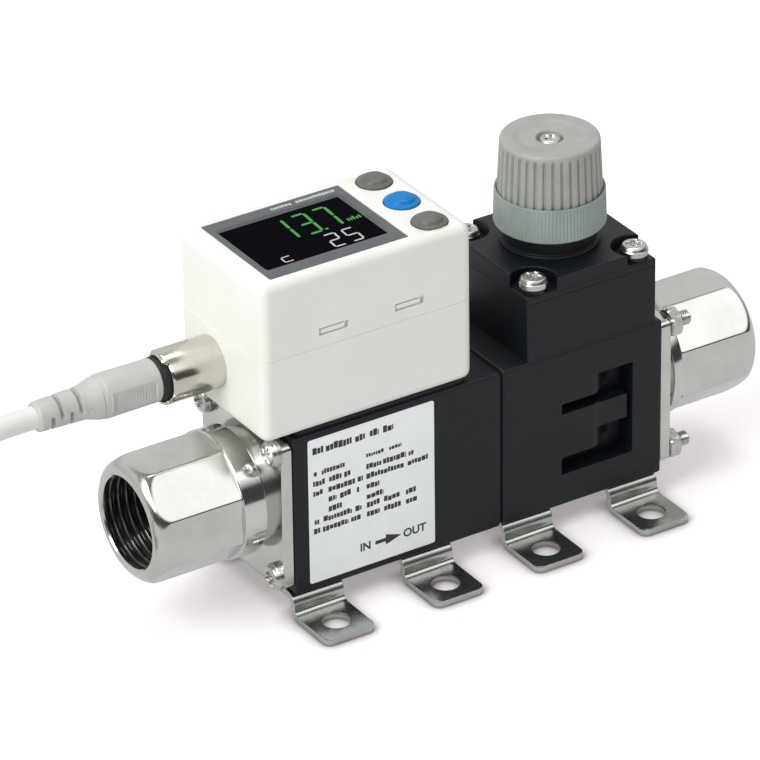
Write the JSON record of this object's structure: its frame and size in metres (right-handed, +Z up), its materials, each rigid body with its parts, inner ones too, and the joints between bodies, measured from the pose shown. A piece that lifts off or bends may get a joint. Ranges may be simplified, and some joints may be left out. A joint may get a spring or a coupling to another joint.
{
  "type": "flow switch with control valve",
  "caption": "Inline water flow switch with a display head, a built-in knob-operated flow control valve, octagonal threaded ports, foot brackets and a tied sensor lead.",
  "frame": {"origin": "on the floor under the middle of the body, midway between the two port faces", "axes": "+X along the pipe from inlet to outlet, +Y to the back, +Z up"},
  "size_m": [0.3064, 0.0573, 0.079],
  "materials": {
    "stainless": "satin turned stainless steel",
    "bracket_steel": "bright rolled stainless sheet",
    "screw_steel": "bright plated steel",
    "black_resin": "matt moulded glass-filled resin",
    "grey_resin": "moulded resin",
    "white_resin": "fine matt moulded resin",
    "knob_grey": "matt moulded resin",
    "ring_green_grey": "matt moulded resin",
    "rubber": "moulded rubber",
    "label": "silver-white polyester film",
    "bezel": "dark grey moulded resin",
    "panel": "black display glass",
    "board": "solder mask",
    "button_grey": "satin moulded resin",
    "button_blue": "satin moulded resin",
    "nickel": "nickel-plated brass",
    "gold": "gold-plated contact",
    "plug_grey": "soft moulded jacket",
    "cable_grey": "smooth cable jacket",
    "core_colours": "coloured core insulation",
    "tie_black": "hook-and-loop strap"
  },
  "bodies": {
    "body": {"inlet_port": "stainless", "outlet_port": "stainless", "port_seals": "rubber", "sensor_body": "black_resin", "block_seal": "rubber", "shedder_bar": "grey_resin", "sensing_element": "grey_resin", "temperature_probe": "stainless", "probe_seals": "rubber", "label_plate": "label", "valve_body": "black_resin", "valve_seat": "stainless", "bonnet": "black_resin", "bonnet_seal": "rubber", "bonnet_screws": "screw_steel", "tie_bolts": "screw_steel", "tie_nuts": "screw_steel", "sensor_bracket": "bracket_steel", "valve_bracket": "bracket_steel", "bracket_screws": "screw_steel", "head_gasket": "rubber", "head_housing": "white_resin", "head_cover": "white_resin", "display_bezel": "bezel", "display_panel": "panel", "circuit_board": "board", "button_switches": "grey_resin", "socket_sleeve": "nickel", "socket_insert": "grey_resin", "socket_pins": "gold", "socket_nut": "nickel", "cable_plug": "plug_grey", "cable_plug_seal": "rubber", "lead_cable": "cable_grey", "lead_coil": "cable_grey", "lead_cores": "core_colours", "coil_tie": "tie_black"},
    "knob": {"knob": "knob_grey", "knob_screw": "screw_steel", "spindle": "stainless", "spindle_seals": "rubber"},
    "valve_plug": {"valve_plug": "stainless", "plug_face": "rubber"},
    "lock_ring": {"lock_ring": "ring_green_grey"},
    "button_up": {"button_up": "button_grey"},
    "button_set": {"button_set": "button_blue"},
    "button_down": {"button_down": "button_grey"}
  },
  "joints": [
    {"name": "knob_turn", "type": "hinge", "parent": "body", "child": "knob", "pos_m": [0.0273, 0, 0.07], "axis": [0, 0, 1], "range_deg": [0, 1800]},
    {"name": "plug_lift", "type": "slide", "parent": "body", "child": "valve_plug", "axis": [0, 0, 1], "range_m": [0, 0.005]},
    {"name": "ring_turn", "type": "hinge", "parent": "body", "child": "lock_ring", "pos_m": [0.0273, 0, 0.065], "axis": [0, 0, 1], "range_deg": [-120, 0]},
    {"name": "button_up_press", "type": "slide", "parent": "body", "child": "button_up", "axis": [0, 0, -1], "range_m": [0, 0.0006], "stiffness_N_per_m": 800},
    {"name": "button_set_press", "type": "slide", "parent": "body", "child": "button_set", "axis": [0, 0, -1], "range_m": [0, 0.0006], "stiffness_N_per_m": 800},
    {"name": "button_down_press", "type": "slide", "parent": "body", "child": "button_down", "axis": [0, 0, -1], "range_m": [0, 0.0006], "stiffness_N_per_m": 800}
  ],
  "couplings": [
    {"joint": "knob_turn", "follows": "plug_lift", "rad_per_m": 6283.2}
  ]
}
